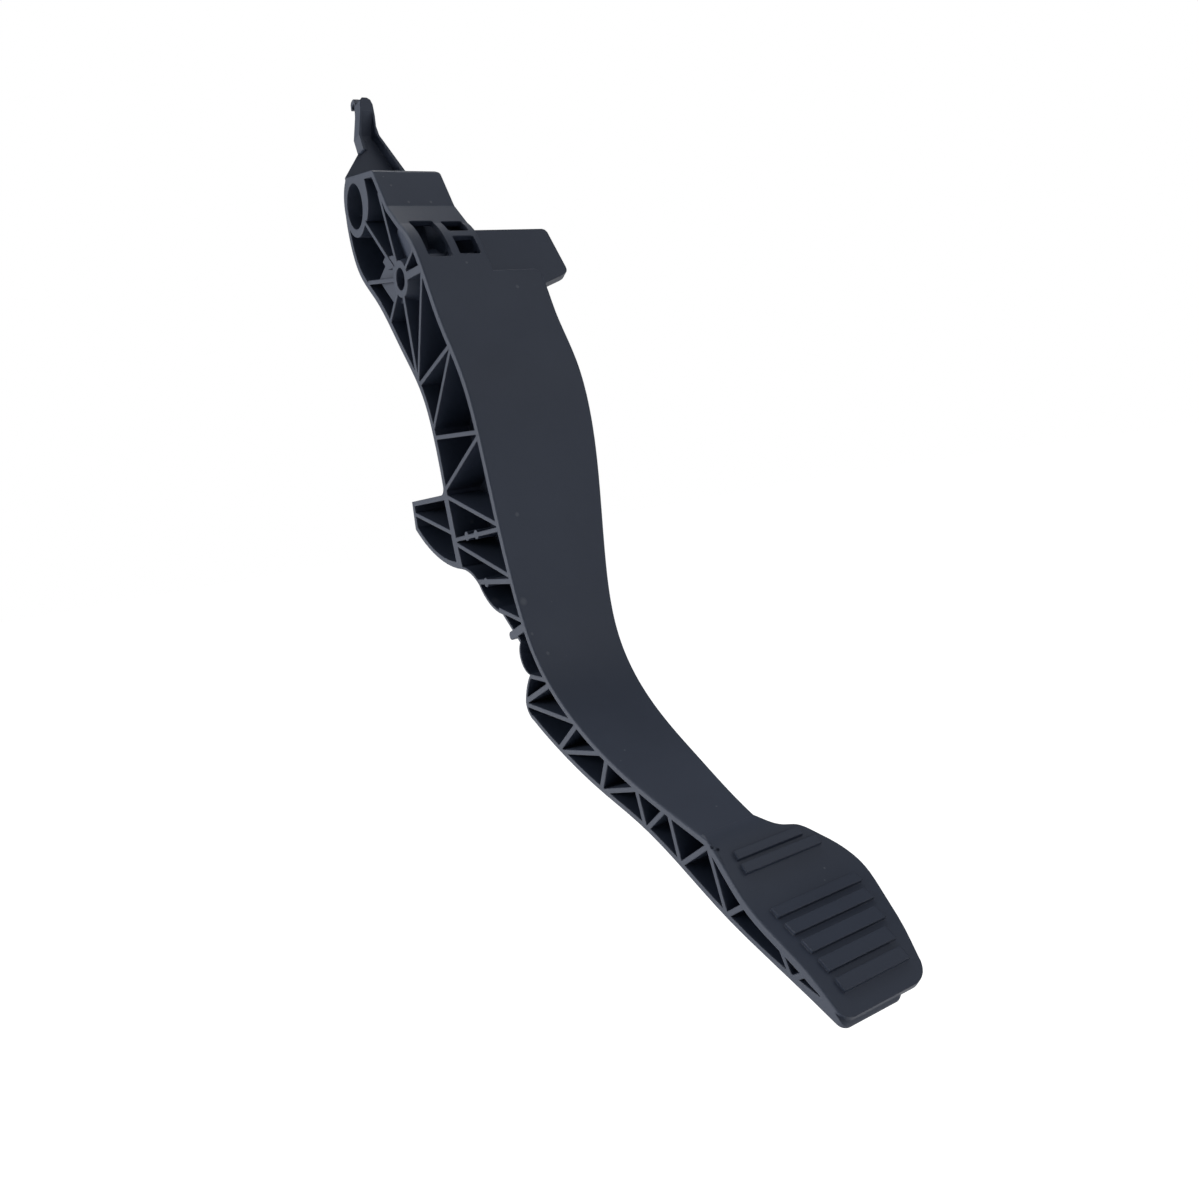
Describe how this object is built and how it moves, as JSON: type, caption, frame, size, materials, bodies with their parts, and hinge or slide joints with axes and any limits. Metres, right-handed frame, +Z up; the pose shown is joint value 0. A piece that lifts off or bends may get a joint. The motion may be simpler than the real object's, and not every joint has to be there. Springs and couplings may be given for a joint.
{
  "type": "clutch pedal",
  "caption": "Pendant clutch pedal lever moulded in one piece: pivot hub, pushrod pin boss, truss-ribbed shaft, stop shelf, switch tab, spring hook and foot pad with grip bars",
  "frame": {"origin": "centre of the pivot bore, half-way along the hub", "axes": "+X along the pivot axis to the driver's right, +Y away from the driver, +Z up"},
  "size_m": [0.0738, 0.2726, 0.359],
  "materials": {
    "nylon": "satin glass-filled nylon, as moulded"
  },
  "bodies": {
    "root": {"pedal_lever": "nylon"}
  },
  "joints": []
}
